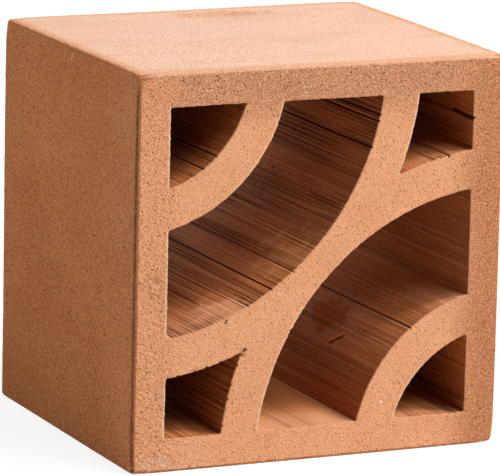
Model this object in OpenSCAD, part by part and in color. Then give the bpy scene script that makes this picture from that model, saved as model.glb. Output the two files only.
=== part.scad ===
// Terracotta breeze block: one extruded and fired clay piece with six cells that run right through it.
// The cells follow circles drawn round two opposite outer corners of the front, so four blocks laid
// corner to corner make whole rings. +Z is up, the cells run along Y and the front faces -Y.
// The origin is at the middle of the lower bed face. Millimetres.

/* [Block] */
// Width of the front, left to right
block_w = 150; // [130:1:180]
// Height, from bed face to bed face
block_h = 150; // [130:1:180]
// Depth, along the cells
block_d = 130; // [60:1:200]

/* [Clay] */
// Thickness of the four outer walls
wall = 13; // [8:0.5:18]
// Thickness of the curved web between a fan cell and its band cell
fan_web = 15; // [10:0.5:20]
// Thickness of the curved web between a band cell and a kite cell
kite_web = 15; // [10:0.5:20]
// Clay left between the two band cells at the middle of the block
middle_web = 12; // [8:0.5:18]

/* [Cells] */
// Width of each band cell, from its inner arc to its outer arc
band_w = 40; // [30:0.5:46]
// Radius in the corners of the cells, left by the die
cell_corner_r = 0.8; // [0.5:0.1:2]

/* [Edges] */
// Radius of the four long edges, shaped by the die
long_edge_r = 1.5; // [1:0.5:6]
// Radius of the edges round the two cut faces
cut_edge_r = 1.2; // [0.5:0.1:3]

/* [Hidden] */

clay_colour = [0.84, 0.55, 0.37];
round_fn = 96;
// How far a cutting shape runs past the face it cuts
past = 5;
// How far a cell corner's circle sits from the sides it rounds: it crosses them at 12 degrees
corner_set = cell_corner_r * cos(12);

// The diagonal joins the two corners that the arcs are drawn round, with the middle web at its midpoint
diagonal = norm([block_w, block_h]);
arc_corner = [-block_w / 2, block_h / 2];
band_outer_r = (diagonal - middle_web) / 2;
band_inner_r = band_outer_r - band_w;
fan_r = band_inner_r - fan_web;
kite_r = band_outer_r + kite_web;
inner_w = block_w - 2 * wall;
inner_h = block_h - 2 * wall;

// Each arc with the side of it that its cell lies on: -1 inside the arc, 1 outside it
arcs = [[fan_r, -1], [band_inner_r, 1], [band_outer_r, -1], [kite_r, 1]];

module rounded_rectangle(size_x, size_y, corner_r) {
    square([size_x - 2 * corner_r, size_y], center = true);
    square([size_x, size_y - 2 * corner_r], center = true);
    for (x = [-1, 1], y = [-1, 1])
        translate([x * (size_x / 2 - corner_r), y * (size_y / 2 - corner_r)])
            circle(r = corner_r, $fn = round_fn);
}

// The clay that rounds off a sharp corner of a cell: what lies between the corner and a circle that
// reaches past both sides of the cell, nearest to its middle at foot_a and foot_b
module corner_fill(middle, foot_a, sharp, foot_b) {
    outline = [for (point = [middle, foot_a, sharp, foot_b]) 2 * point - middle];
    difference() {
        polygon(outline);
        translate(middle)
            circle(r = cell_corner_r, $fn = round_fn);
    }
}

// The corner where an arc meets the top wall, measured from the outer corner that the arc is drawn round
module wall_corner_fill(arc_r, side) {
    reach = arc_r + side * corner_set;
    drop = wall + corner_set;
    middle = [sqrt(reach * reach - drop * drop), -drop];
    sharp = [sqrt(arc_r * arc_r - wall * wall), -wall];
    corner_fill(middle, [middle[0], -wall], sharp, middle * arc_r / reach);
}

// The tip of the upper kite cell, where two arcs of the same radius cross
module tip_fill() {
    towards_tip = [block_h, block_w] / diagonal;
    reach = kite_r + corner_set;
    middle = towards_tip * sqrt(reach * reach - diagonal * diagonal / 4);
    sharp = towards_tip * sqrt(kite_r * kite_r - diagonal * diagonal / 4);
    foot = function(from) from + (middle - from) * kite_r / reach;
    corner_fill(middle, foot(arc_corner), sharp, foot(-arc_corner));
}

// The fills in the cell corners on the upper left half of the section
module corner_fills() {
    translate(arc_corner)
        for (arc = arcs) {
            wall_corner_fill(arc[0], arc[1]);
            mirror([1, 1, 0])
                wall_corner_fill(arc[0], arc[1]);
        }
    tip_fill();
}

// A fan cell and a band cell before the walls cut them off, drawn round one outer corner
module fan_and_band() {
    translate(arc_corner) {
        circle(r = fan_r, $fn = round_fn);
        difference() {
            circle(r = band_outer_r, $fn = round_fn);
            circle(r = band_inner_r, $fn = round_fn);
        }
    }
}

// Both kite cells before the walls cut them off
module kites() {
    difference() {
        square([block_w, block_h], center = true);
        for (turn = [0, 180])
            rotate(turn)
                translate(arc_corner)
                    circle(r = kite_r, $fn = round_fn);
    }
}

// The six cells as the die leaves them. The section is the same after half a turn.
module cells() {
    difference() {
        intersection() {
            rounded_rectangle(inner_w, inner_h, cell_corner_r);
            union() {
                kites();
                for (turn = [0, 180])
                    rotate(turn)
                        fan_and_band();
            }
        }
        for (turn = [0, 180])
            rotate(turn)
                corner_fills();
    }
}

// A bar along Y with that section, centred on the middle of the block
module along_y(length) {
    rotate([90, 0, 0])
        linear_extrude(height = length, center = true)
            children();
}

// The outside of the block: long edges rounded by the die, and softer edges round the cut faces
module outside() {
    intersection() {
        along_y(block_d)
            rounded_rectangle(block_w, block_h, long_edge_r);
        linear_extrude(height = block_h + past, center = true)
            rounded_rectangle(block_w, block_d, cut_edge_r);
        rotate([0, 90, 0])
            linear_extrude(height = block_w + past, center = true)
                rounded_rectangle(block_h, block_d, cut_edge_r);
    }
}

module block() {
    color(clay_colour)
        translate([0, 0, block_h / 2])
            difference() {
                outside();
                along_y(block_d + 2 * past)
                    cells();
            }
}

block();
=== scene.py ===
# Terracotta breeze block: one piece of clay, pushed through a die, cut with a wire at both ends and fired.
# It takes the place of the CAD node block. Metres, +Z up, the cells run along Y and the front faces -Y.
import math

import bmesh
import bpy
import numpy as np
from mathutils import Matrix, Vector, kdtree
from mathutils.geometry import delaunay_2d_cdt


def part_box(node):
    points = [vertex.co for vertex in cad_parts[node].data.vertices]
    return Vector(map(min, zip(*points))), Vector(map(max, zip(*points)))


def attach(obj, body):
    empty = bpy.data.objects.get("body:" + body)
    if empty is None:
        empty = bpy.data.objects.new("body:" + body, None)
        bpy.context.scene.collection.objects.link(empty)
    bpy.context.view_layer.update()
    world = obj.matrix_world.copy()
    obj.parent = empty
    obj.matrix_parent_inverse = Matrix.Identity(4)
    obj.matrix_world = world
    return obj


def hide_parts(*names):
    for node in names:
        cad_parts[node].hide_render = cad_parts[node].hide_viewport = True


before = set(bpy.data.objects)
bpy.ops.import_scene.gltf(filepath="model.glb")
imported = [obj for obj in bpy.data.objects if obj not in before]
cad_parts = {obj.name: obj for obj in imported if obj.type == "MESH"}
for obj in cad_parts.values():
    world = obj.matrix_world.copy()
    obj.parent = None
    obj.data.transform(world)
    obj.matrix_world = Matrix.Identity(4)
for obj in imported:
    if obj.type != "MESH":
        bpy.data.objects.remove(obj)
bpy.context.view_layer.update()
low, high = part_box("block")

mm = 0.001

# Sizes of the section, as the part's source has them
block_w = high[0] - low[0]
block_d = high[1] - low[1]
block_h = high[2] - low[2]
wall = 13 * mm
fan_web = 15 * mm
kite_web = 15 * mm
middle_web = 12 * mm
band_w = 40 * mm
long_edge_r = 1.5 * mm
outer_cut_edge_r = 1.2 * mm

# Corners and front edges of the cells, where two corners are softer than the rest
cell_corner_r = 0.6 * mm
soft_band_corner_r = 2.6 * mm
soft_fan_corner_r = 1.7 * mm
cell_cut_edge_r = 0.45 * mm

diagonal = math.hypot(block_w, block_h)
band_outer_r = (diagonal - middle_web) / 2
band_inner_r = band_outer_r - band_w
fan_r = band_inner_r - fan_web
kite_r = band_outer_r + kite_web

# Spacing of the points round the cells, in rounded corners, round the outside and over the cut faces
cell_step = 0.5 * mm
corner_step = 0.25 * mm
outside_step = 1.4 * mm
face_step = 1.2 * mm
# How far points on a cut face are shifted at random, as a share of their spacing
face_jitter = 0.2
# How far they keep from the block's outline and from a cell's rim
clear_of_outside = 2.2 * mm
clear_of_cell = 1.1 * mm
# Rings of points from the front to the back
ring_count = 29

# Numbers that mark the rims of the section
outside, upper_fan, upper_band, upper_kite, lower_fan, lower_band, lower_kite = range(7)


# The die: where each side of a cell lies, and the outline that the sides make
class StraightSide:
    def __init__(self, into_clay, reach):
        self.face = np.array(into_clay, float)
        self.reach = reach

    def gap(self, point):
        return self.reach - self.face @ point

    def into_clay(self, point):
        return self.face

    def points(self, start, end, step):
        count = max(2, round(np.linalg.norm(end - start) / step))
        return [start + (end - start) * i / count for i in range(count)]


class ArcSide:
    def __init__(self, centre, radius, cell_inside):
        self.centre = np.array(centre, float)
        self.radius = radius
        self.sign = 1 if cell_inside else -1

    def gap(self, point):
        return self.sign * (self.radius - np.linalg.norm(point - self.centre))

    def into_clay(self, point):
        away = point - self.centre
        return self.sign * away / np.linalg.norm(away)

    def points(self, start, end, step):
        a, b = start - self.centre, end - self.centre
        first = math.atan2(a[1], a[0])
        turn = math.remainder(math.atan2(b[1], b[0]) - first, math.tau)
        count = max(4, round(abs(turn) * self.radius / step))
        angles = [first + turn * i / count for i in range(count)]
        return [self.centre + self.radius * np.array((math.cos(t), math.sin(t))) for t in angles]


def corner_middle(side_a, side_b, near, radius):
    """Middle of the circle of that radius that touches both sides from inside the cell."""
    point = np.array(near, float)
    for _ in range(20):
        slope = -np.array((side_a.into_clay(point), side_b.into_clay(point)))
        short = np.array((radius - side_a.gap(point), radius - side_b.gap(point)))
        point = point + np.linalg.solve(slope, short)
    return point


def outline(sides, corners, step):
    """Points round a cell, with the way into the clay at each point.
    corners[i] gives a near point and the radius for the corner between side i - 1 and side i."""
    rounds = []
    for i, (near, radius) in enumerate(corners):
        middle = corner_middle(sides[i - 1], sides[i], near, radius)
        feet = [middle + side.into_clay(middle) * radius for side in (sides[i - 1], sides[i])]
        rounds.append((ArcSide(middle, radius, True), feet[0], feet[1]))
    points, ways = [], []
    for i, side in enumerate(sides):
        corner, foot_in, foot_out = rounds[i]
        stretch = corner.points(foot_in, foot_out, corner_step)
        points += stretch
        ways += [corner.into_clay(p) for p in stretch]
        stretch = side.points(foot_out, rounds[(i + 1) % len(sides)][1], step)
        points += stretch
        ways += [side.into_clay(p) for p in stretch]
    return np.array(points), np.array(ways)


half_w = block_w / 2
inner_x = half_w - wall
inner_z = block_h - wall
upper_left = (-half_w, block_h)
lower_right = (half_w, 0.0)
left_side = StraightSide((-1, 0), inner_x)
right_side = StraightSide((1, 0), inner_x)
top_side = StraightSide((0, 1), inner_z)


def along_wall(radius):
    return math.sqrt(radius * radius - wall * wall)


def fan_cell(corner_rs):
    sides = [left_side, top_side, ArcSide(upper_left, fan_r, True)]
    nears = [(-inner_x, block_h - along_wall(fan_r)),
             (-inner_x, inner_z),
             (-half_w + along_wall(fan_r), inner_z)]
    return sides, list(zip(nears, corner_rs))


def band_cell(corner_rs):
    outer_arc = ArcSide(upper_left, band_outer_r, True)
    inner_arc = ArcSide(upper_left, band_inner_r, False)
    sides = [top_side, outer_arc, left_side, inner_arc]
    nears = [(-half_w + along_wall(band_inner_r), inner_z),
             (-half_w + along_wall(band_outer_r), inner_z),
             (-inner_x, block_h - along_wall(band_outer_r)),
             (-inner_x, block_h - along_wall(band_inner_r))]
    return sides, list(zip(nears, corner_rs))


def kite_cell(corner_rs):
    arcs = [ArcSide(corner, kite_r, False) for corner in (lower_right, upper_left)]
    sides = [top_side, right_side, *arcs]
    tip = math.sqrt(kite_r * kite_r - diagonal * diagonal / 4)
    tip_point = (tip * block_h / diagonal, block_h / 2 + tip * block_w / diagonal)
    nears = [(-half_w + along_wall(kite_r), inner_z),
             (inner_x, inner_z),
             (inner_x, along_wall(kite_r)),
             tip_point]
    return sides, list(zip(nears, corner_rs))


def half_turn(points, ways):
    return np.array((0, block_h)) - points, -ways


r = cell_corner_r
cell_outlines = [
    outline(*fan_cell([r, r, r]), cell_step),
    outline(*band_cell([r, r, soft_band_corner_r, r]), cell_step),
    outline(*kite_cell([r, r, r, r]), cell_step),
    half_turn(*outline(*fan_cell([r, r, soft_fan_corner_r]), cell_step)),
    half_turn(*outline(*band_cell([r, r, r, r]), cell_step)),
    half_turn(*outline(*kite_cell([r, r, r, r]), cell_step)),
]

bottom_face = StraightSide((0, -1), 0.0)
top_face = StraightSide((0, 1), block_h)
left_face = StraightSide((-1, 0), half_w)
right_face = StraightSide((1, 0), half_w)
outside_faces = [bottom_face, right_face, top_face, left_face]
outside_corners = [((-half_w, 0), long_edge_r), ((half_w, 0), long_edge_r),
                   ((half_w, block_h), long_edge_r), ((-half_w, block_h), long_edge_r)]
outside_points, outside_ways = outline(outside_faces, outside_corners, outside_step)

# Deeper scores that a stray grain in the die has drawn, by cell: X and Z on its wall, width and depth in mm
scores = {
    upper_band: [((-19.9, 66.9), 0.22, 0.8), ((-8.6, 69.6), 0.15, 0.4), ((-30.5, 63.6), 0.15, 0.35),
                 ((21.4, 127.5), 0.24, 0.7), ((21.9, 130.2), 0.18, 0.45), ((19.4, 117.9), 0.3, 0.6)],
    upper_fan: [((-43.1, 117.6), 0.22, 0.5), ((-45.3, 115.9), 0.18, 0.45), ((-48.5, 113.4), 0.22, 0.45)],
    lower_band: [((37.4, 48.7), 0.2, 0.55)],
    upper_kite: [((62.0, 126.5), 0.25, 0.5), ((52.1, 112.9), 0.25, 0.6)],
}


def perimeter(points):
    steps = np.linalg.norm(np.roll(points, -1, axis=0) - points, axis=1)
    return np.concatenate(([0], np.cumsum(steps)[:-1])), steps.sum()


# Chips that the wire has torn out of the front edges, by cell: X and Z on its rim, width and depth in mm
chips = {
    upper_fan: [((-30.0, 137.2), 0.4, 0.8)],
    upper_band: [((-61.1, 53.4), 0.5, 0.6), ((22.8, 136.6), 0.4, 0.6)],
    upper_kite: [((31.0, 107.4), 0.45, 0.6), ((52.1, 112.9), 0.4, 0.6), ((48.8, 112.4), 0.35, 0.5),
                 ((62.0, 126.5), 0.5, 0.6)],
    lower_band: [((-11.9, 50.5), 0.4, 0.6), ((-12.6, 48.9), 0.25, 0.4)],
    lower_kite: [((-30.9, 43.5), 0.45, 1.3), ((-31.9, 42.2), 0.3, 0.7), ((-33.2, 38.7), 0.4, 0.8),
                 ((-35.4, 31.3), 0.35, 0.7), ((-36.6, 26.0), 0.5, 0.85), ((-37.3, 21.9), 0.35, 0.6),
                 ((-38.1, 16.0), 0.4, 0.75), ((-57.0, 36.4), 0.4, 0.5), ((-50.0, 37.7), 0.35, 0.5),
                 ((-45.5, 38.8), 0.45, 0.65), ((-40.0, 40.4), 0.35, 0.5)],
}

# How far handling has worn back the outer corners of the front in mm, and about a third as much at the back
knocks = [((-half_w, block_h), 2.3), ((half_w, block_h), 1.5), ((-half_w, 0), 0.5), ((half_w, 0), 0.8)]
knock_reach = 5.0 * mm
knock_depth = 6.0 * mm

# How far from a cut face its ragged edge, its chips and its burr reach
ragged_reach = 0.6 * mm
chip_reach = 0.9 * mm
lip_reach = 0.5 * mm
# How far from the front the skin of the left side is pulled in most, and how wide that hollow is
pulled_at = 1.5 * mm
pulled_width = 0.8 * mm
# Height over the lower bed where the slump has its full size, as the bed itself stays flat
full_slump_at = 20 * mm

# How near to a score or chip a cell's outline has more points, and how many parts its steps have there
mark_reach = 0.85 * mm
mark_parts = 4


def with_finer_steps(cell, points, ways):
    """A cell's outline with more points near its scores and chips, so that narrow ones keep their shape."""
    marks = scores.get(cell, []) + chips.get(cell, [])
    spots_here = [np.array(spot) * mm for spot, *_ in marks]
    finer, finer_ways = [], []
    for i, point in enumerate(points):
        step = points[(i + 1) % len(points)] - point
        turn = ways[(i + 1) % len(points)] - ways[i]
        close = any(np.linalg.norm(point + step / 2 - spot) < mark_reach for spot in spots_here)
        parts = mark_parts if close else 1
        for k in range(parts):
            finer.append(point + step * k / parts)
            way = ways[i] + turn * k / parts
            finer_ways.append(way / np.linalg.norm(way))
    return np.array(finer), np.array(finer_ways)


rims = [(outside_points, -outside_ways)]
rims += [with_finer_steps(cell + 1, *rim) for cell, rim in enumerate(cell_outlines)]


def rim_depths(marks, cell, points):
    """How deep the scores or chips of a cell go at each point of its rim."""
    around, whole = perimeter(points)
    depths = np.zeros(len(points))
    for spot, width, depth in marks.get(cell, ()):
        place = around[np.argmin(np.linalg.norm(points - np.array(spot) * mm, axis=1))]
        apart = np.abs(around - place)
        apart = np.minimum(apart, whole - apart)
        depths += depth * mm * np.exp(-(apart / (width * mm)) ** 2)
    return depths


def knock_ways(cell, points):
    """How far, and which way, each point of a rim is worn back."""
    ways = np.zeros((len(points), 2))
    for corner, amount in knocks if cell == outside else ():
        away = np.linalg.norm(points - np.array(corner), axis=1)
        to_middle = np.array((0, block_h / 2)) - np.array(corner)
        worn = amount * mm * np.exp(-(away / knock_reach) ** 2)
        ways += np.outer(worn, to_middle / np.linalg.norm(to_middle))
    return ways


def die_plate():
    """The section as a flat mesh, with what the extrusion has to know at each point of its rims."""
    rng = np.random.default_rng(11)
    points, ways, around, cells, edges = [], [], [], [], []
    drawn, torn, worn = [], [], []
    for cell, (rim, way) in enumerate(rims):
        first = len(points)
        count = len(rim)
        points += list(rim)
        ways += list(way)
        around += list(perimeter(rim)[0])
        cells += [cell] * count
        drawn += list(rim_depths(scores, cell, rim))
        torn += list(rim_depths(chips, cell, rim))
        worn += list(knock_ways(cell, rim))
        edges += [(first + i, first + (i + 1) % count) for i in range(count)]
    tree = kdtree.KDTree(len(points))
    for i, p in enumerate(points):
        tree.insert((p[0], p[1], 0), i)
    tree.balance()
    row = face_step * math.sqrt(3) / 2
    for j in range(int(block_h / row) + 1):
        for i in range(int(block_w / face_step) + 1):
            x = -half_w + (i + 0.5 * (j % 2)) * face_step
            x += rng.uniform(-face_jitter, face_jitter) * face_step
            z = j * row + rng.uniform(-face_jitter, face_jitter) * face_step
            _, index, distance = tree.find((x, z, 0))
            keep = clear_of_outside if cells[index] == outside else clear_of_cell
            keep += torn[index] + np.linalg.norm(worn[index])
            clay_side = np.array((x, z)) - points[index]
            if distance > keep and clay_side @ ways[index] > 0:
                points.append(np.array((x, z)))
    inner = len(points) - len(ways)
    for values in (around, drawn, torn):
        values += [0.0] * inner
    for values in (ways, worn):
        values += [np.zeros(2)] * inner
    cells += [outside] * inner
    made, _, faces, origin, _, _ = delaunay_2d_cdt([Vector(p) for p in points], edges, [], 0, 1e-9)
    source = [o[0] for o in origin]
    rim_count = len(points) - inner
    kept = []
    for face in faces:
        ids = [source[v] for v in face]
        middle = sum(points[i] for i in ids) / 3
        index = tree.find((middle[0], middle[1], 0))[1]
        on_one_rim = all(i < rim_count for i in ids) and len({cells[i] for i in ids}) == 1
        if on_one_rim and sum((points[i] - middle) @ ways[i] for i in ids) > -1e-12:
            continue
        if (middle - points[index]) @ ways[index] > 0 or not on_one_rim:
            kept.append(face)
    mesh = bpy.data.meshes.new("die_plate")
    mesh.from_pydata([(p[0], 0, p[1]) for p in made], [], kept)
    rows = np.array(source)
    for name, values in (("inward", ways), ("knock", worn)):
        vectors = np.zeros((len(made), 3))
        vectors[:, [0, 2]] = np.array(values)[rows]
        mesh.attributes.new(name, "FLOAT_VECTOR", "POINT").data.foreach_set("vector", vectors.ravel())
    for name, values in (("around", around), ("cell", cells), ("score", drawn), ("chip", torn)):
        numbers = np.array(values, float)[rows]
        mesh.attributes.new(name, "FLOAT", "POINT").data.foreach_set("value", numbers)
    return mesh


# Short hands for building node trees
def feed(tree, socket, value):
    if isinstance(value, bpy.types.NodeSocket):
        tree.links.new(value, socket)
    else:
        socket.default_value = value


def add(tree, kind, inputs=(), **settings):
    node = tree.nodes.new(kind)
    for name, value in settings.items():
        setattr(node, name, value)
    for name, value in dict(inputs).items():
        feed(tree, node.inputs[name], value)
    return node


def calc(tree, operation, *values):
    node = add(tree, "ShaderNodeMath", operation=operation)
    for socket, value in zip(node.inputs, values):
        feed(tree, socket, value)
    return node.outputs[0]


def times(tree, *values):
    total = values[0]
    for value in values[1:]:
        total = calc(tree, "MULTIPLY", total, value)
    return total


def rest(tree, share):
    return calc(tree, "SUBTRACT", 1.0, share)


def vector_calc(tree, operation, *vectors):
    """Vector of a sum with vectors, or Value where it is a length or a dot product."""
    node = add(tree, "ShaderNodeVectorMath", operation=operation)
    for socket, vector in zip(node.inputs, vectors):
        feed(tree, socket, vector)
    return node.outputs["Value" if operation in ("LENGTH", "DOT_PRODUCT") else "Vector"]


def scaled(tree, vector, factor):
    inputs = {"Vector": vector, "Scale": factor}
    return add(tree, "ShaderNodeVectorMath", inputs, operation="SCALE").outputs["Vector"]


def summed(tree, *vectors):
    total = vectors[0]
    for vector in vectors[1:]:
        total = vector_calc(tree, "ADD", total, vector)
    return total


def joined(tree, x, y, z):
    return add(tree, "ShaderNodeCombineXYZ", {"X": x, "Y": y, "Z": z}).outputs[0]


def axes(tree, vector):
    return add(tree, "ShaderNodeSeparateXYZ", {"Vector": vector}).outputs


def noise(tree, vector, scale, detail=2.0, roughness=0.5):
    inputs = {"Vector": vector, "Scale": scale, "Detail": detail, "Roughness": roughness}
    return add(tree, "ShaderNodeTexNoise", inputs).outputs["Fac"]


def named(tree, name, data_type="FLOAT"):
    node = add(tree, "GeometryNodeInputNamedAttribute", {"Name": name}, data_type=data_type)
    return node.outputs["Attribute"]


def stored(tree, geometry, name, value, data_type="FLOAT", domain="POINT"):
    inputs = {"Geometry": geometry, "Name": name, "Value": value}
    node = add(tree, "GeometryNodeStoreNamedAttribute", inputs, data_type=data_type, domain=domain)
    return node.outputs["Geometry"]


def moved(tree, geometry, **inputs):
    node = add(tree, "GeometryNodeSetPosition", {"Geometry": geometry, **inputs})
    return node.outputs["Geometry"]


def swing(tree, vector, scale, detail):
    """A noise that swings about 0."""
    return calc(tree, "SUBTRACT", noise(tree, vector, scale, detail), 0.5)


def fading(tree, distance, reach):
    """1 at no distance, and a third of that at each further reach."""
    return calc(tree, "EXPONENT", calc(tree, "DIVIDE", distance, -reach))


def extrusion_tree():
    """Sweeps the rims of the die plate along the block's depth, closes both ends with the plate, and gives
    each surface its relief: drag lines and scores in the cells, ragged cut edges, a slight slump."""
    tree = bpy.data.node_groups.new("clay extrusion", "GeometryNodeTree")
    sockets = [("Die plate", "Geometry"), ("Depth", "Float"), ("Rings", "Int"), ("Cell edge", "Float"),
               ("Outer edge", "Float"), ("Drag", "Float"), ("Fine drag", "Float"), ("Ragged", "Float"),
               ("Grain", "Float"), ("Slump", "Float"), ("Burr", "Float"), ("Pulled skin", "Float"),
               ("Seed", "Float"), ("Cut clay", "Material"), ("Skin clay", "Material"),
               ("Cell clay", "Material")]
    for name, kind in sockets:
        tree.interface.new_socket(name=name, in_out="INPUT", socket_type="NodeSocket" + kind)
    tree.interface.new_socket(name="Block", in_out="OUTPUT", socket_type="NodeSocketGeometry")
    given = tree.nodes.new("NodeGroupInput").outputs
    half_depth = times(tree, given["Depth"], 0.5)

    # The rims of the plate as closed curves that remember where they lie
    neighbours = add(tree, "GeometryNodeInputMeshEdgeNeighbors").outputs["Face Count"]
    on_rim = calc(tree, "LESS_THAN", neighbours, 1.5)
    rim = add(tree, "GeometryNodeMeshToCurve", {"Mesh": given["Die plate"], "Selection": on_rim})
    place = add(tree, "GeometryNodeInputPosition").outputs[0]
    rim = stored(tree, rim.outputs["Curve"], "spot", place, "FLOAT_VECTOR")

    # The path, with its rings close together at both cut faces
    line = add(tree, "GeometryNodeCurvePrimitiveLine", {"Start": (0, -1, 0), "End": (0, 1, 0)})
    line = add(tree, "GeometryNodeResampleCurve", {"Curve": line.outputs["Curve"], "Count": given["Rings"]})
    factor = add(tree, "GeometryNodeSplineParameter").outputs["Factor"]
    t = calc(tree, "MULTIPLY_ADD", factor, 2.0, -1.0)
    from_end = calc(tree, "POWER", rest(tree, calc(tree, "ABSOLUTE", t)), 3.0)
    ring = times(tree, calc(tree, "SIGN", t), rest(tree, from_end))
    line = stored(tree, line.outputs["Curve"], "along", times(tree, ring, half_depth))

    walls = add(tree, "GeometryNodeCurveToMesh", {"Curve": line, "Profile Curve": rim}).outputs["Mesh"]
    spot = axes(tree, named(tree, "spot", "FLOAT_VECTOR"))
    walls = moved(tree, walls, Position=joined(tree, spot["X"], named(tree, "along"), spot["Z"]))
    is_cell = calc(tree, "GREATER_THAN", named(tree, "cell"), 0.5)
    walls = stored(tree, walls, "surface", calc(tree, "ADD", is_cell, 1.0), domain="FACE")

    ends = []
    for side in (-1.0, 1.0):
        along = times(tree, half_depth, side)
        end = stored(tree, given["Die plate"], "along", along)
        end = stored(tree, end, "surface", 0.0, domain="FACE")
        ends.append(moved(tree, end, Offset=joined(tree, 0.0, along, 0.0)))
    whole = add(tree, "GeometryNodeJoinGeometry")
    for part in (walls, *ends):
        tree.links.new(part, whole.inputs["Geometry"])
    block = add(tree, "GeometryNodeMergeByDistance", {"Geometry": whole.outputs[0], "Distance": 1e-6})
    block = block.outputs["Geometry"]

    # Distance from the nearer cut face, and the rounding of the edge there
    along = named(tree, "along")
    end_side = calc(tree, "SIGN", along)
    front = calc(tree, "LESS_THAN", along, 0.0)
    inward = named(tree, "inward", "FLOAT_VECTOR")
    deep = calc(tree, "SUBTRACT", half_depth, calc(tree, "ABSOLUTE", along))
    edge_span = calc(tree, "SUBTRACT", given["Cell edge"], given["Outer edge"])
    edge_r = calc(tree, "MULTIPLY_ADD", is_cell, edge_span, given["Outer edge"])
    short = calc(tree, "SUBTRACT", edge_r, calc(tree, "MINIMUM", deep, edge_r))
    square = calc(tree, "SUBTRACT", times(tree, edge_r, edge_r), times(tree, short, short))
    inset = calc(tree, "SUBTRACT", edge_r, calc(tree, "SQRT", calc(tree, "MAXIMUM", square, 0.0)))

    # Lines that the die drags along the cell walls: how close they lie and how much they wander, per mm
    around = times(tree, named(tree, "around"), 1000.0)
    run = times(tree, along, 1000.0)
    shelf = calc(tree, "MULTIPLY_ADD", named(tree, "cell"), 37.0, given["Seed"])
    drags = []
    for name, close, wander in (("Drag", 0.28, 0.006), ("Fine drag", 0.75, 0.012)):
        drag_at = joined(tree, times(tree, around, close), times(tree, run, wander), shelf)
        drags.append(times(tree, swing(tree, drag_at, 1.0, 1.0), given[name]))
    drag = times(tree, calc(tree, "ADD", *drags), is_cell)
    drag = calc(tree, "ADD", drag, named(tree, "score"))

    # Torn clay where the wire leaves an edge, and chips at the front
    where = add(tree, "GeometryNodeInputPosition").outputs[0]
    torn = times(tree, swing(tree, where, 620.0, 2.0), fading(tree, deep, ragged_reach), given["Ragged"])
    chip = times(tree, fading(tree, deep, chip_reach), named(tree, "chip"))
    into = calc(tree, "ADD", calc(tree, "ADD", inset, drag), torn)
    into = calc(tree, "MULTIPLY_ADD", chip, front, into)

    # The wire pulls in the skin at the front's left edge, and leaves a burr on rims that it drags across
    inward_x = axes(tree, inward)["X"]
    left_skin = calc(tree, "SUBTRACT", calc(tree, "GREATER_THAN", inward_x, 0.9), is_cell)
    pulled = calc(tree, "DIVIDE", calc(tree, "SUBTRACT", deep, pulled_at), pulled_width)
    pulled = calc(tree, "EXPONENT", times(tree, pulled, pulled, -1.0))
    pulled = times(tree, pulled, given["Pulled skin"], front)
    into = calc(tree, "MULTIPLY_ADD", pulled, calc(tree, "MAXIMUM", left_skin, 0.0), into)
    lip = times(tree, calc(tree, "MAXIMUM", times(tree, inward_x, -1.0), 0.0), is_cell)
    lip = times(tree, lip, fading(tree, deep, lip_reach))
    block = stored(tree, block, "lip", lip)
    burr = times(tree, noise(tree, where, 300.0, 1.0), given["Burr"], lip, end_side)

    # Corners worn back by handling
    knock = named(tree, "knock", "FLOAT_VECTOR")
    worn = rest(tree, calc(tree, "DIVIDE", deep, knock_depth))
    worn = calc(tree, "MAXIMUM", worn, 0.0)
    worn = times(tree, worn, worn, calc(tree, "MULTIPLY_ADD", front, 0.65, 0.35))
    worn_y = times(tree, vector_calc(tree, "LENGTH", knock), worn, times(tree, end_side, -0.5))

    # The cut faces are a little uneven, and the whole block has slumped slightly in drying
    off_rim = rest(tree, vector_calc(tree, "LENGTH", inward))
    grain = times(tree, swing(tree, where, 420.0, 2.0), given["Grain"], off_rim, end_side)
    bent = add(tree, "ShaderNodeTexNoise", {"Vector": where, "Scale": 9.0, "Detail": 1.0}).outputs["Color"]
    bent = vector_calc(tree, "SUBTRACT", bent, (0.5, 0.5, 0.5))
    above_bed = axes(tree, where)["Z"]
    above_bed = calc(tree, "MINIMUM", calc(tree, "DIVIDE", above_bed, full_slump_at), 1.0)
    bent = vector_calc(tree, "MULTIPLY", bent, joined(tree, 1.0, 1.0, above_bed))
    along_y = calc(tree, "ADD", calc(tree, "ADD", grain, burr), worn_y)
    offset = summed(tree, scaled(tree, inward, into), scaled(tree, knock, worn),
                    joined(tree, 0.0, along_y, 0.0), scaled(tree, bent, given["Slump"]))
    block = moved(tree, block, Offset=offset)

    block = add(tree, "GeometryNodeSetShadeSmooth", {"Geometry": block}).outputs["Geometry"]
    block = add(tree, "GeometryNodeRealizeInstances", {"Geometry": block}).outputs["Geometry"]
    surface = named(tree, "surface")
    for kind, name in enumerate(("Cut clay", "Skin clay", "Cell clay")):
        chosen = calc(tree, "COMPARE", surface, float(kind), 0.1)
        inputs = {"Geometry": block, "Selection": chosen, "Material": given[name]}
        block = add(tree, "GeometryNodeSetMaterial", inputs).outputs["Geometry"]
    tree.links.new(block, tree.nodes.new("NodeGroupOutput").inputs["Block"])
    return tree


# Colours and marks for the materials, which measure in mm
def srgb(r, g, b):
    def linear(v):
        v = v / 255
        return v / 12.92 if v <= 0.04045 else ((v + 0.055) / 1.055) ** 2.4
    return linear(r), linear(g), linear(b), 1.0


def mixed(tree, factor, first, second, kind="MIX"):
    node = add(tree, "ShaderNodeMix", data_type="RGBA", blend_type=kind)
    for socket, value in zip((node.inputs[0], node.inputs[6], node.inputs[7]), (factor, first, second)):
        feed(tree, socket, value)
    return node.outputs[2]


def over(tree, colour, rgb, *shares):
    """The colour with another one laid over it, by the product of the shares."""
    return mixed(tree, times(tree, *shares), colour, srgb(*rgb))


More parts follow.
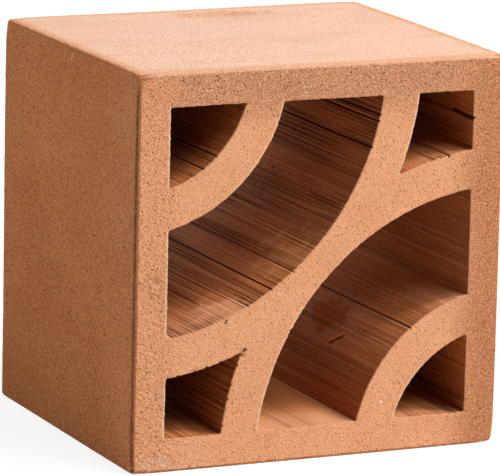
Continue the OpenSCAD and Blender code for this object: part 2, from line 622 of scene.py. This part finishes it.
def ramp(tree, value, low, high, to_low=0.0, to_high=1.0):
    inputs = {"Value": value, "From Min": low, "From Max": high, "To Min": to_low, "To Max": to_high}
    return add(tree, "ShaderNodeMapRange", inputs, interpolation_type="SMOOTHSTEP").outputs["Result"]


def shaded(tree, colour, amount):
    """The colour times a grey amount."""
    grey = joined(tree, amount, amount, amount)
    return mixed(tree, 1.0, colour, grey, "MULTIPLY")


def grained(tree, colour, amount, dark, pale):
    """The colour, towards a dark clay where the amount is below 0 and a pale one where it is above."""
    hollow = calc(tree, "MINIMUM", calc(tree, "MAXIMUM", times(tree, amount, -1.0), 0.0), 1.0)
    crest = calc(tree, "MINIMUM", calc(tree, "MAXIMUM", amount, 0.0), 1.0)
    return mixed(tree, crest, mixed(tree, hollow, colour, dark), pale)


def spots(tree, vector, spacing, share, size):
    """Round spots, one at most in each cell of a loose grid: 1 in the middle of a spot, 0 outside."""
    grid = add(tree, "ShaderNodeTexVoronoi", {"Vector": vector, "Scale": 1.0 / spacing})
    chance = add(tree, "ShaderNodeSeparateColor", {"Color": grid.outputs["Color"]}).outputs[0]
    filled = calc(tree, "LESS_THAN", chance, share)
    reach = times(tree, filled, size, ramp(tree, chance, 0.0, share, 0.6, 1.1))
    return ramp(tree, calc(tree, "SUBTRACT", reach, grid.outputs["Distance"]), 0.0, size * 0.6)


def patch(tree, where, middle, radii, fray):
    """A soft-edged patch round a spot, frayed by a noise: 1 inside, 0 outside."""
    off = vector_calc(tree, "DIVIDE", vector_calc(tree, "SUBTRACT", where, middle), radii)
    away = vector_calc(tree, "LENGTH", off)
    return ramp(tree, calc(tree, "MULTIPLY_ADD", fray, 1.6, away), 1.75, 1.15)


def slit(tree, where, middle, way, length, width, fray):
    """A narrow frayed slit through a spot, along a way."""
    way = tuple(Vector(way).normalized())
    off = vector_calc(tree, "SUBTRACT", where, middle)
    run = vector_calc(tree, "DOT_PRODUCT", off, way)
    aside = vector_calc(tree, "LENGTH", summed(tree, off, scaled(tree, way, times(tree, run, -1.0))))
    ends = calc(tree, "ABSOLUTE", times(tree, run, 1.0 / length))
    sides = calc(tree, "MULTIPLY_ADD", fray, 2.2, times(tree, aside, 1.0 / width))
    return ramp(tree, calc(tree, "MAXIMUM", sides, ends), 2.1, 1.5)


def bare_clay(name, roughness, gloss):
    material = bpy.data.materials.new(name)
    material.use_nodes = True
    tree = material.node_tree
    shader = tree.nodes["Principled BSDF"]
    shader.inputs["Roughness"].default_value = roughness
    shader.inputs["Specular IOR Level"].default_value = gloss
    where = scaled(tree, add(tree, "ShaderNodeTexCoord").outputs["Object"], 1000.0)
    return material, tree, shader, where, axes(tree, where)


def finish_clay(tree, shader, colour, height, depth):
    tree.links.new(colour, shader.inputs["Base Color"])
    bump = add(tree, "ShaderNodeBump", {"Height": height, "Distance": depth, "Strength": 1.0})
    tree.links.new(bump.outputs["Normal"], shader.inputs["Normal"])


def from_mesh(tree, name):
    return add(tree, "ShaderNodeAttribute", attribute_name=name).outputs["Fac"]


def wire_cut_clay():
    """Sandy cut face: grains and pits that the wire has dragged aslant, roughest where it went in."""
    material, tree, shader, where, at = bare_clay("wire-cut clay", 0.95, 0.15)
    aslant = times(tree, calc(tree, "SUBTRACT", at["X"], at["Z"]), 0.7071)
    across = times(tree, calc(tree, "ADD", at["X"], at["Z"]), 0.7071)
    torn_right = ramp(tree, at["X"], 48.0, 68.0, 0.0, 0.5)
    torn = calc(tree, "MAXIMUM", ramp(tree, at["Z"], 124.0, 142.0), torn_right)
    patchy = noise(tree, where, 0.045, 2.0)
    torn = times(tree, torn, ramp(tree, patchy, 0.2, 0.6, 0.6, 1.0))
    rough = calc(tree, "MAXIMUM", torn, ramp(tree, at["X"], -54.0, -64.0, 0.0, 0.85))

    sand = noise(tree, where, 2.3, 1.0, 0.6)
    streak_at = joined(tree, times(tree, across, 2.1), at["Y"], times(tree, aslant, 0.7))
    streak = noise(tree, streak_at, 1.0, 1.0, 0.6)
    pit_at = joined(tree, across, at["Y"], times(tree, aslant, 0.66))
    pits = spots(tree, pit_at, 0.85, 0.36, 0.4)
    grains = spots(tree, summed(tree, where, (31.0, 7.0, 19.0)), 0.9, 0.4, 0.42)
    holes = spots(tree, summed(tree, where, (5.0, 3.0, 41.0)), 7.0, 0.2, 0.07)

    tone = noise(tree, where, 0.06, 2.0, 0.5)
    colour = mixed(tree, ramp(tree, tone, 0.3, 0.7), srgb(242, 168, 120), srgb(247, 175, 128))
    # The cut face is darker towards its top band and its right edge, and a stronger orange towards its left
    # edge
    colour = over(tree, colour, (219, 147, 102), torn)
    colour = over(tree, colour, (206, 130, 84), ramp(tree, at["X"], 52.0, 70.0))
    colour = over(tree, colour, (251, 166, 114), ramp(tree, at["X"], -54.0, -64.0, 0.0, 0.6))
    relief = calc(tree, "ADD", times(tree, sand, 0.6), times(tree, streak, 0.4))
    lift = times(tree, calc(tree, "SUBTRACT", relief, 0.5), ramp(tree, rough, 0.0, 1.0, 2.2, 3.8))
    colour = grained(tree, colour, lift, srgb(150, 84, 44), srgb(255, 214, 176))
    colour = over(tree, colour, (112, 56, 28), pits, ramp(tree, rough, 0.0, 1.0, 0.5, 0.85))
    colour = over(tree, colour, (255, 210, 166), grains, ramp(tree, rough, 0.0, 1.0, 0.14, 0.3))
    colour = over(tree, colour, (66, 30, 16), holes, 0.9)

    # Wrinkles where the wire has pushed the clay along the left wall, with painted shade in their hollows
    # and a painted highlight on their crests, two nicks painted dark as shade, and a lime grain
    fray = noise(tree, where, 0.9, 3.0, 0.7)
    push_at = summed(tree, scaled(tree, where, 0.35), joined(tree, 0.0, 0.0, times(tree, across, 0.5)))
    folds = calc(tree, "SUBTRACT", noise(tree, push_at, 1.0, 3.0, 0.65), 0.5)
    pushed = patch(tree, where, (-67.5, -65.0, 70.5), (6.5, 3.0, 8.5), fray)
    beside_left = times(tree, ramp(tree, at["X"], -40.0, -62.0), ramp(tree, at["Z"], 110.0, 80.0), 0.3)
    pushed = calc(tree, "MAXIMUM", pushed, beside_left)
    folds = times(tree, folds, pushed)
    nicks = calc(tree, "MAXIMUM",
                 slit(tree, where, (-37.9, -65.0, 56.2), (0.5, 0.0, 1.0), 0.9, 0.4, fray),
                 slit(tree, where, (-30.9, -65.0, 43.6), (1.0, 0.0, 1.1), 0.9, 0.8, fray))
    lime_grain = patch(tree, where, (26.9, -65.0, 19.7), (0.7, 2.0, 0.7), fray)
    # Painted shade and highlight on the wrinkles
    colour = grained(tree, colour, times(tree, folds, 2.2), srgb(140, 76, 40), srgb(255, 208, 160))
    # Painted shade in the nicks
    colour = over(tree, colour, (62, 26, 12), nicks, 0.85)
    colour = over(tree, colour, (255, 240, 224), lime_grain)

    lime = ramp(tree, noise(tree, where, 0.45, 3.0, 0.7), 0.48, 0.64)
    foot = times(tree, ramp(tree, at["Z"], 11.0, 1.0), ramp(tree, at["X"], -34.0, -66.0))
    colour = over(tree, colour, (246, 224, 204), lime, foot, 0.65)
    # Painted highlight on the burr along cell rims that face to the right, towards the key lamp
    burr = calc(tree, "POWER", from_mesh(tree, "lip"), 3.0)
    colour = over(tree, colour, (255, 222, 180), burr)

    height = calc(tree, "MULTIPLY_ADD", grains, 0.35, times(tree, relief, 1.5))
    height = calc(tree, "SUBTRACT", height, times(tree, pits, 0.55))
    height = calc(tree, "SUBTRACT", height, calc(tree, "ADD", holes, nicks))
    height = calc(tree, "ADD", height, times(tree, folds, 4.8))
    height = times(tree, height, ramp(tree, rough, 0.0, 1.0, 0.9, 1.6))
    finish_clay(tree, shader, colour, height, 0.42 * mm)
    return material


def die_smoothed_clay():
    """Outer skin: fine grain and specks drawn out along the extrusion, and a paler upper bed that is partly
    pale dust and partly painted light.
    """
    material, tree, shader, where, at = bare_clay("die-smoothed clay", 0.9, 0.15)
    drawn = joined(tree, at["X"], times(tree, at["Y"], 0.42), at["Z"])
    grain = noise(tree, drawn, 2.1, 1.0, 0.6)
    specks = spots(tree, drawn, 0.74, 0.55, 0.36)
    pale_grains = spots(tree, summed(tree, drawn, (7.0, 17.0, 23.0)), 1.0, 0.35, 0.4)
    dark_specks = spots(tree, summed(tree, where, (13.0, 29.0, 3.0)), 6.0, 0.25, 0.09)
    broad = noise(tree, joined(tree, at["X"], times(tree, at["Y"], 0.5), at["Z"]), 0.035, 3.0, 0.55)

    colour = mixed(tree, ramp(tree, broad, 0.3, 0.7), srgb(196, 118, 64), srgb(206, 130, 76))
    # Painted shade: darker towards the bottom, where the floor beside the block lies in shadow
    colour = shaded(tree, colour, ramp(tree, at["Z"], 0.0, 70.0, 0.88, 1.0))
    colour = shaded(tree, colour, ramp(tree, at["Z"], 118.0, 148.0, 1.0, 0.955))
    # Painted light, partly dust: the top and its front and back edges take a paler copy of the skin's
    # colour, with pale dust laid over it
    blotch_at = joined(tree, times(tree, at["X"], 0.4), at["Y"], at["Z"])
    blotch_noise = noise(tree, blotch_at, 0.075, 3.0, 0.6)
    near_side = calc(tree, "SUBTRACT", 73.6, calc(tree, "ABSOLUTE", at["X"]))
    near_cut = calc(tree, "SUBTRACT", 63.6, calc(tree, "ABSOLUTE", at["Y"]))
    from_edge = ramp(tree, calc(tree, "MINIMUM", near_side, near_cut), 0.0, 6.0)
    brow = times(tree, ramp(tree, near_cut, 0.0, -0.3), ramp(tree, at["Z"], 148.5, 148.9))
    top = calc(tree, "MAXIMUM", ramp(tree, at["Z"], 149.2, 149.85), brow)
    dust_and_painted_light = ramp(tree, blotch_noise, 0.25, 0.62, 0.55, 1.0)
    dust_and_painted_light = times(tree, dust_and_painted_light, ramp(tree, from_edge, 0.0, 1.0, 0.2, 1.0))
    fray = noise(tree, where, 0.22, 3.0, 0.65)
    fine_fray = noise(tree, where, 0.9, 3.0, 0.7)
    smear = patch(tree, where, (9.0, 49.5, 150.0), (29.0, 9.5, 6.0), fray)
    dust_and_painted_light = times(tree, dust_and_painted_light, rest(tree, times(tree, smear, 0.85)))
    bed = mixed(tree, ramp(tree, near_side, 0.0, 3.0), srgb(222, 146, 98), srgb(224, 160, 118))
    colour = mixed(tree, top, colour, bed)
    colour = over(tree, colour, (236, 194, 169), dust_and_painted_light, top)
    dots = times(tree, smear, ramp(tree, fine_fray, 0.55, 0.63), ramp(tree, at["X"], 6.0, 16.0))
    colour = over(tree, colour, (120, 66, 40), dots, 0.7)

    # Painted light: the sides and the bottom are a little paler towards the front
    painted_front_light = times(tree, ramp(tree, at["Y"], -25.0, -60.0), ramp(tree, broad, 0.35, 0.65, 0.5, 1.0), 0.16)
    colour = over(tree, colour, (226, 176, 138), painted_front_light, rest(tree, top))

    scratch = calc(tree, "MAXIMUM",
                   slit(tree, where, (-75.0, -1.5, 146.0), (0.0, 0.6, -1.0), 1.1, 0.7, fine_fray),
                   slit(tree, where, (-75.0, -3.2, 145.6), (0.0, -0.5, -1.0), 0.9, 0.6, fine_fray))
    colour = over(tree, colour, (230, 178, 142), scratch, 0.5)

    # Skin beside the front's left edge, pulled in by the wire, with painted shade in the hollow there
    painted_shade_beside_edge = times(tree, ramp(tree, at["Y"], -64.9, -64.4), ramp(tree, at["Y"], -62.2, -63.4))
    painted_shade_beside_edge = times(tree, painted_shade_beside_edge, ramp(tree, at["X"], -73.4, -74.3), ramp(tree, at["Z"], 147.0, 141.0))
    colour = over(tree, colour, (98, 48, 26), painted_shade_beside_edge, ramp(tree, fray, 0.3, 0.6, 0.6, 0.95))

    lift = times(tree, calc(tree, "SUBTRACT", grain, 0.5), ramp(tree, top, 0.0, 1.0, 2.3, 2.8))
    # Painted light, partly dust: on the top the grain is paler and the specks are fainter
    dark = mixed(tree, top, srgb(122, 66, 34), srgb(196, 132, 94))
    pale = mixed(tree, top, srgb(228, 154, 102), srgb(250, 214, 190))
    colour = grained(tree, colour, lift, dark, pale)
    bare = rest(tree, times(tree, top, 0.6))
    colour = over(tree, colour, (92, 46, 24), specks, bare, 0.95)
    colour = over(tree, colour, (230, 158, 108), pale_grains, bare, 0.12)
    colour = over(tree, colour, (70, 36, 22), dark_specks, 0.8)

    lime = ramp(tree, noise(tree, where, 0.5, 3.0, 0.7), 0.52, 0.66)
    foot = times(tree, ramp(tree, at["Z"], 6.0, 0.5), ramp(tree, at["Y"], 20.0, -50.0))
    colour = over(tree, colour, (232, 204, 180), lime, foot, 0.4)

    height = calc(tree, "SUBTRACT", grain, times(tree, specks, 0.5))
    height = calc(tree, "SUBTRACT", height, calc(tree, "ADD", dark_specks, dots))
    finish_clay(tree, shader, colour, height, 0.24 * mm)
    return material


def dragged_cell_clay():
    """Cell walls: lines that the die has dragged along the cell, paler floors near the ends that are partly
    dust and partly painted light, a few stains.
    """
    material, tree, shader, where, at = bare_clay("dragged cell clay", 0.92, 0.04)
    around = times(tree, from_mesh(tree, "around"), 1000.0)
    cell = from_mesh(tree, "cell")

    def lines(pitch, wander, shift, detail):
        spot = joined(tree, times(tree, around, 1.0 / pitch), times(tree, at["Y"], wander),
                      calc(tree, "MULTIPLY_ADD", cell, 17.3, shift))
        return noise(tree, spot, 1.0, detail, 0.6)

    def crossings(value, width):
        """Thin lines where a noise passes through its middle value."""
        return ramp(tree, calc(tree, "ABSOLUTE", calc(tree, "SUBTRACT", value, 0.5)), width, width * 0.3)

    bands = lines(7.0, 0.004, 3.0, 2.0)
    ribs = lines(2.1, 0.003, 11.0, 1.0)
    hairs = lines(0.85, 0.004, 23.0, 1.0)
    busy = ramp(tree, lines(11.0, 0.01, 37.0, 1.0), 0.4, 0.6, 0.25, 1.0)
    in_lower_band = calc(tree, "COMPARE", cell, lower_band, 0.3)
    in_upper_band = calc(tree, "COMPARE", cell, upper_band, 0.3)
    calm = ramp(tree, in_lower_band, 0.0, 1.0, 1.0, 0.45)
    cuts = times(tree, crossings(ribs, 0.045), ramp(tree, lines(3.4, 0.012, 51.0, 1.0), 0.46, 0.58), calm)
    crowded = calc(tree, "ADD", times(tree, in_upper_band, 0.35), times(tree, in_lower_band, -0.3))
    fine_cuts = times(tree, crossings(hairs, 0.11), busy, calc(tree, "ADD", crowded, 1.0))
    comb_a = times(tree, ramp(tree, at["X"], -30.0, -27.5), ramp(tree, at["X"], -20.0, -21.5))
    comb_b = times(tree, ramp(tree, at["X"], -46.0, -50.0), 0.9)
    comb_c = times(tree, ramp(tree, at["Z"], 36.0, 40.0), ramp(tree, at["Z"], 49.0, 46.0))
    comb_c = times(tree, comb_c, ramp(tree, at["Y"], -15.0, -40.0), 0.5)
    combed = calc(tree, "ADD", times(tree, calc(tree, "MAXIMUM", comb_a, comb_b), in_upper_band),
                  times(tree, comb_c, in_lower_band))
    teeth = lines(0.75, 0.006, 71.0, 1.0)
    teeth_cuts = times(tree, ramp(tree, teeth, 0.52, 0.58), combed)
    teeth_crests = times(tree, ramp(tree, teeth, 0.46, 0.4), combed)
    crests = ramp(tree, ribs, 0.36, 0.28)
    fine_crests = ramp(tree, hairs, 0.4, 0.32)
    painted_score_shade = ramp(tree, from_mesh(tree, "score"), 0.00012, 0.0003)
    grain = noise(tree, where, 1.7, 1.0, 0.6)

    colour = mixed(tree, ramp(tree, bands, 0.3, 0.7), srgb(188, 109, 58), srgb(194, 116, 63))
    normal = add(tree, "ShaderNodeNewGeometry").outputs["Normal"]
    up = axes(tree, normal)["Z"]
    # Floors near the cell ends, where the lamps reach in, are paler: partly settled dust and partly painted
    # light
    floors = ramp(tree, up, 0.85, 0.99)
    deep = calc(tree, "SUBTRACT", 65.0, calc(tree, "ABSOLUTE", at["Y"]))
    mouth = ramp(tree, deep, 35.0, 3.0)
    open_to_dust_and_light = calc(tree, "ADD", times(tree, in_lower_band, 0.85), times(tree, in_upper_band, 0.72))
    settled_dust_and_light = times(tree, floors, mouth, calc(tree, "ADD", open_to_dust_and_light, 0.08))
    in_right_cells = calc(tree, "COMPARE", cell, (upper_kite + lower_fan) / 2, 0.6)
    tint = mixed(tree, in_right_cells, (1.02, 0.97, 0.86, 1.0), (1.18, 1.06, 0.84, 1.0))
    tint = mixed(tree, in_lower_band, tint, (0.96, 0.97, 0.92, 1.0))
    foot = times(tree, in_lower_band, ramp(tree, at["Z"], 38.0, 20.0))
    tint = mixed(tree, foot, tint, (1.06, 0.94, 0.74, 1.0))
    tint = mixed(tree, times(tree, foot, floors), tint, (0.86, 0.93, 0.9, 1.0))
    web_side = times(tree, in_lower_band, ramp(tree, at["Z"], 22.0, 34.0), ramp(tree, at["Z"], 58.0, 48.0))
    tint = mixed(tree, web_side, tint, (1.1, 1.14, 1.22, 1.0))
    tint = mixed(tree, in_upper_band, tint, (1.09, 1.1, 1.16, 1.0))
    band_end = times(tree, in_upper_band, ramp(tree, at["Z"], 98.0, 120.0))
    tint = mixed(tree, band_end, tint, (1.22, 1.3, 1.45, 1.0))
    colour = mixed(tree, 1.0, colour, tint, "MULTIPLY")
    in_small_cells = rest(tree, calc(tree, "ADD", in_lower_band, in_upper_band))
    small_floors = times(tree, in_small_cells, floors)
    colour = mixed(tree, small_floors, colour, (0.98, 1.04, 1.14, 1.0), "MULTIPLY")
    in_upper_fan = calc(tree, "COMPARE", cell, upper_fan, 0.3)
    fan_foot = times(tree, in_upper_fan, ramp(tree, at["Z"], 126.0, 114.0))
    colour = mixed(tree, fan_foot, colour, (0.84, 0.89, 0.95, 1.0), "MULTIPLY")
    # The same paler floors near the ends of the two right cells: partly dust, partly painted light
    right_floors = times(tree, in_right_cells, floors, mouth)
    colour = over(tree, colour, (200, 148, 106), right_floors, 0.5)
    # The upper band is paler towards the back
    paler_far_end = times(tree, ramp(tree, at["Y"], -20.0, 45.0), in_upper_band, 0.8)
    colour = over(tree, colour, (230, 172, 136), paler_far_end)
    colour = over(tree, colour, (228, 164, 120), settled_dust_and_light)
    lift = times(tree, calc(tree, "SUBTRACT", grain, 0.5), 2.0)
    colour = grained(tree, colour, lift, srgb(104, 54, 28), srgb(236, 164, 116))

    fray = noise(tree, where, 0.3, 3.0, 0.7)
    fine_fray = noise(tree, where, 0.9, 3.0, 0.7)
    stain_at = (32.0, -10.0, 40.4)
    stain = ramp(tree, patch(tree, where, stain_at, (9.0, 17.0, 9.0), fray), 0.25, 0.65)
    stain = times(tree, stain, ramp(tree, fine_fray, 0.35, 0.55, 0.7, 1.0))
    unstained = rest(tree, stain)
    tide = times(tree, patch(tree, where, stain_at, (10.2, 19.5, 10.2), fray), unstained)
    halo = times(tree, patch(tree, where, stain_at, (17.0, 36.0, 17.0), fray), unstained)
    colour = over(tree, colour, (224, 160, 124), halo, 0.36)
    colour = over(tree, colour, (84, 36, 12), tide, 0.6)
    colour = over(tree, colour, (184, 90, 4), stain, 0.92)
    smear = patch(tree, where, (8.3, 1.4, 94.4), (8.5, 20.0, 8.5), fray)
    colour = over(tree, colour, (172, 82, 28), smear, ramp(tree, fine_fray, 0.49, 0.58), 0.85)
    colour = over(tree, colour, (58, 24, 10), smear, ramp(tree, fine_fray, 0.47, 0.39), 0.75)
    # Painted shade, dark, inside a gouge and a crack
    gouge = slit(tree, where, (26.5, -25.9, 35.2), (3.2, -7.5, 4.3), 2.4, 1.3, fine_fray)
    crack = slit(tree, where, (62.0, -57.0, 126.6), (0.0, 1.0, 0.04), 5.0, 1.1, fine_fray)
    gouge = calc(tree, "MAXIMUM", gouge, crack)
    colour = over(tree, colour, (44, 18, 8), gouge, 0.9)
    # Painted highlight along the gouge's lip
    rim = slit(tree, where, (27.1, -25.4, 36.0), (3.2, -7.5, 4.3), 2.3, 1.0, fine_fray)
    colour = over(tree, colour, (255, 150, 84), rim, 0.95)
    # Two pale patches on the upper band's floor near the front, partly dust and partly painted light; the
    # drag lines under them are fainter
    blotch_noise = noise(tree, where, 0.12, 1.0)
    worn = 0.0
    for middle, radii, dust_and_painted_light in (((-7.5, -51.0, 76.0), (13.0, 23.0, 13.0), srgb(222, 152, 92)),
                                ((-36.0, -58.0, 58.0), (12.0, 20.0, 10.0), srgb(240, 174, 126))):
        dust_and_light_patch = patch(tree, where, middle, radii, blotch_noise)
        dust_and_light_patch = times(tree, dust_and_light_patch, ramp(tree, fine_fray, 0.36, 0.6, 0.45, 0.85))
        colour = mixed(tree, dust_and_light_patch, colour, dust_and_painted_light)
        worn = calc(tree, "ADD", worn, times(tree, dust_and_light_patch, 0.6))
    kept = rest(tree, worn)

    # Dark drag lines: partly the clay's colour, partly painted shade in their grooves
    colour = over(tree, colour, (68, 30, 14), cuts, kept, 0.55)
    colour = over(tree, colour, (84, 40, 19), fine_cuts, kept, 0.5)
    colour = over(tree, colour, (88, 42, 20), teeth_cuts, kept, 0.6)
    colour = over(tree, colour, (226, 156, 108), teeth_crests, kept, 0.4)
    colour = over(tree, colour, (236, 170, 126), crests, 0.12)
    colour = over(tree, colour, (244, 182, 138), fine_crests, 0.2)
    # Painted shade, near black, deep in the scores
    colour = over(tree, colour, (36, 14, 6), painted_score_shade, 0.9)

    # The rim is fresh-cut clay, and the burr on its right-facing edges has a painted highlight
    fresh = ramp(tree, deep, 0.55, 0.1)
    colour = over(tree, colour, (240, 174, 130), fresh, 0.7)
    burr = calc(tree, "POWER", from_mesh(tree, "lip"), 2.5)
    colour = over(tree, colour, (255, 212, 164), burr, 0.6)

    height = calc(tree, "SUBTRACT", times(tree, grain, 0.25), times(tree, cuts, 0.8))
    height = calc(tree, "SUBTRACT", height, times(tree, fine_cuts, 0.45))
    height = calc(tree, "SUBTRACT", height, times(tree, gouge, 1.0))
    height = calc(tree, "ADD", height, times(tree, crests, 0.3))
    height = calc(tree, "ADD", height, times(tree, rim, 0.8))
    finish_clay(tree, shader, colour, height, 0.3 * mm)
    return material


def put_in_scene(name, data):
    thing = bpy.data.objects.new(name, data)
    bpy.context.scene.collection.objects.link(thing)
    return thing


cut_clay = wire_cut_clay()
skin_clay = die_smoothed_clay()
cell_clay = dragged_cell_clay()

block = put_in_scene("breeze_block", die_plate())
extrusion = block.modifiers.new("clay extrusion", "NODES")
extrusion.node_group = extrusion_tree()
settings = {"Depth": block_d, "Rings": ring_count, "Seed": 4.0,
            "Cell edge": cell_cut_edge_r, "Outer edge": outer_cut_edge_r,
            "Drag": 0.3 * mm, "Fine drag": 0.25 * mm, "Ragged": 0.7 * mm, "Grain": 0.25 * mm,
            "Slump": 0.8 * mm, "Burr": 0.45 * mm, "Pulled skin": 0.3 * mm,
            "Cut clay": cut_clay, "Skin clay": skin_clay, "Cell clay": cell_clay}
for item in extrusion.node_group.interface.items_tree:
    if item.in_out == "INPUT" and item.name in settings:
        extrusion[item.identifier] = settings[item.name]
shaped = block.evaluated_get(bpy.context.evaluated_depsgraph_get())
mesh = bpy.data.meshes.new_from_object(shaped)
block.modifiers.remove(extrusion)
block.data = mesh
mesh.name = "breeze_block"
shell = bmesh.new()
shell.from_mesh(mesh)
bmesh.ops.recalc_face_normals(shell, faces=shell.faces)
shell.to_mesh(mesh)
shell.free()
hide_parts("block")
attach(block, "root")


# Floor, light and camera
def seen_straight(tree):
    """1 for what the camera sees straight, mirrored or through glass, 0 for light on its way round."""
    path = add(tree, "ShaderNodeLightPath").outputs
    mirrored = calc(tree, "MAXIMUM", path["Is Glossy Ray"], path["Is Transmission Ray"])
    return calc(tree, "MAXIMUM", path["Is Camera Ray"], mirrored)


def white_floor():
    material = bpy.data.materials.new("white studio floor")
    material.use_nodes = True
    tree = material.node_tree
    tree.nodes.clear()
    matt = add(tree, "ShaderNodeBsdfDiffuse", {"Color": (0.8, 0.8, 0.8, 1)}).outputs[0]
    thin = add(tree, "ShaderNodeBsdfDiffuse", {"Color": (0.3, 0.3, 0.3, 1)}).outputs[0]
    glow = add(tree, "ShaderNodeEmission", {"Color": (1, 1, 1, 1), "Strength": 0.84}).outputs[0]
    pale = add(tree, "ShaderNodeAddShader")
    tree.links.new(thin, pale.inputs[0])
    tree.links.new(glow, pale.inputs[1])
    either = add(tree, "ShaderNodeMixShader", {"Fac": seen_straight(tree)})
    tree.links.new(matt, either.inputs[1])
    tree.links.new(pale.outputs[0], either.inputs[2])
    tree.links.new(either.outputs[0], add(tree, "ShaderNodeOutputMaterial").inputs["Surface"])
    return material


floor_reach = 4
floor_corners = [(x * floor_reach, y * floor_reach, 0) for x, y in ((-1, -1), (1, -1), (1, 1), (-1, 1))]
floor_mesh = bpy.data.meshes.new("floor")
floor_mesh.from_pydata(floor_corners, [], [(0, 1, 2, 3)])
floor_mesh.materials.append(white_floor())
floor = put_in_scene("floor", floor_mesh)

world = bpy.data.worlds.new("studio")
bpy.context.scene.world = world
world.use_nodes = True
sky = world.node_tree
sky_light = 0.02
backdrop = sky.nodes["Background"].inputs
backdrop["Color"].default_value = (1, 1, 1, 1)
sky.links.new(ramp(sky, seen_straight(sky), 0.0, 1.0, sky_light, 1.0), backdrop["Strength"])


block_middle = Vector((0, 0, block_h / 2))


def way_from_block(turn, rise):
    return Vector((math.sin(turn) * math.cos(rise), -math.cos(turn) * math.cos(rise), math.sin(rise)))


def lamp(name, turn, rise, distance, size, power):
    """A round lamp that faces the block's middle. Turn goes from the front to the right, rise from level."""
    data = bpy.data.lights.new(name, "AREA")
    data.shape = "DISK"
    data.size = size
    data.energy = power
    way = way_from_block(math.radians(turn), math.radians(rise))
    thing = put_in_scene(name, data)
    thing.location = way * distance + block_middle
    thing.rotation_euler = way.to_track_quat("Z", "Y").to_euler()


lamp("key", 59, 53, 2.0, 0.55, 34)
lamp("front softbox", 24, 47, 2.0, 0.9, 16)
lamp("left fill", 255, 12, 2.0, 0.7, 7.6)
lamp("back fill", 190, 20, 2.0, 1.1, 14)

# The camera as fitted to the photograph. Its place is in widths of the block, from the block's middle.
view_turn = math.radians(-24.975)
view_rise = math.radians(12.102)
view_roll = math.radians(1.436)
stand_back, stand_across, stand_up = 12.0888, 0.0058, -0.0240
focal_px = 4724.44
picture_px = 500
sensor_mm = 36
back = way_from_block(view_turn, view_rise)
right = Vector((math.cos(view_turn), math.sin(view_turn), 0))
up = back.cross(right)
across = right * math.cos(view_roll) + up * math.sin(view_roll)
upright = up * math.cos(view_roll) - right * math.sin(view_roll)
camera_data = bpy.data.cameras.new("camera")
camera_data.sensor_width = sensor_mm
camera_data.lens = focal_px / picture_px * sensor_mm
camera = put_in_scene("camera", camera_data)
stand = back * stand_back + across * stand_across + upright * stand_up
camera.matrix_world = Matrix((across, upright, back)).transposed().to_4x4()
camera.matrix_world.translation = block_middle + stand * block_w
bpy.context.scene.camera = camera
bpy.context.scene.view_settings.view_transform = "Standard"
